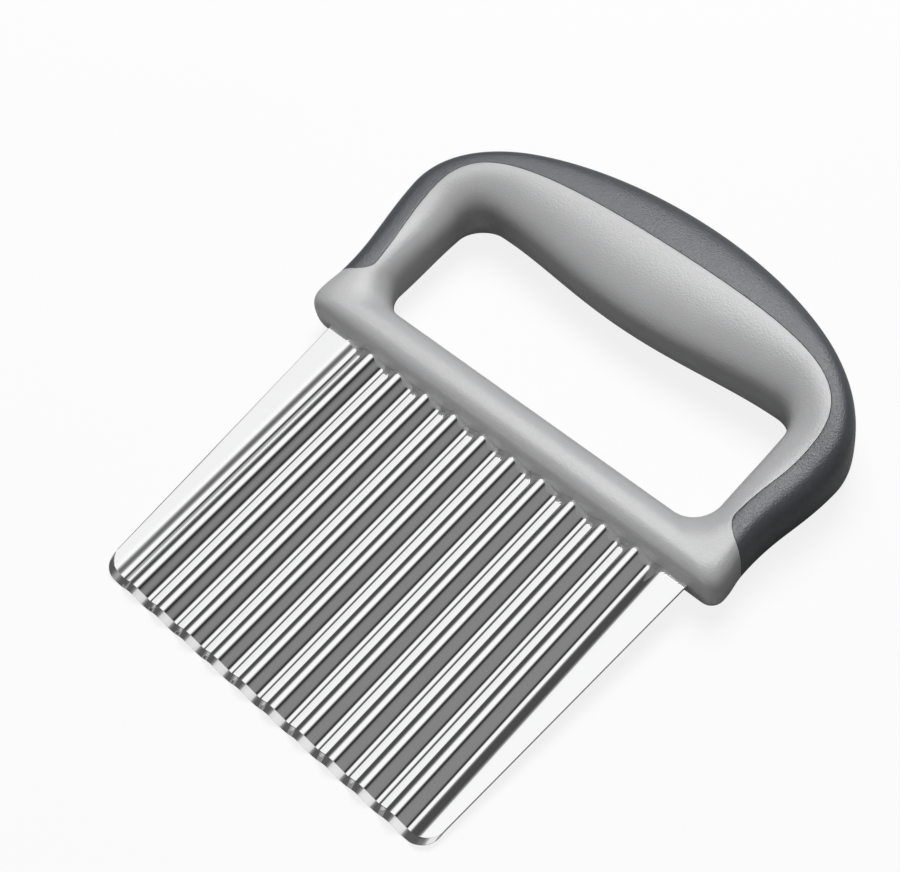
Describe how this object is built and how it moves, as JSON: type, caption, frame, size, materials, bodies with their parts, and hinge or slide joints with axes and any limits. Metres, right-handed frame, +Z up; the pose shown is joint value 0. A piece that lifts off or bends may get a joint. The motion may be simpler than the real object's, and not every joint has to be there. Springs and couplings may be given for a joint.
{
  "type": "crinkle cutter",
  "caption": "Hand cutter with a corrugated steel blade under a two-tone D-shaped handle, for cutting wavy vegetable slices.",
  "frame": {"origin": "middle of the footprint of the cutter lying on its back, at the height of the table", "axes": "+X across the blade to the right seen from the front, +Y from the cutting edge towards the palm, +Z up from the table, out of the front of the tool"},
  "size_m": [0.1342, 0.1586, 0.0245],
  "materials": {
    "polished_steel": "polished sheet, ground edge",
    "hard_plastic": "light grey, fine moulded grain",
    "soft_rubber": "slate grey, soft and satin",
    "pin_steel": "drawn wire"
  },
  "bodies": {
    "root": {"blade": "polished_steel", "front_shell": "hard_plastic", "rear_shell": "hard_plastic", "soft_grip": "soft_rubber", "tang_pin_1": "pin_steel", "tang_pin_2": "pin_steel", "tang_pin_3": "pin_steel", "tang_pin_4": "pin_steel"}
  },
  "joints": []
}
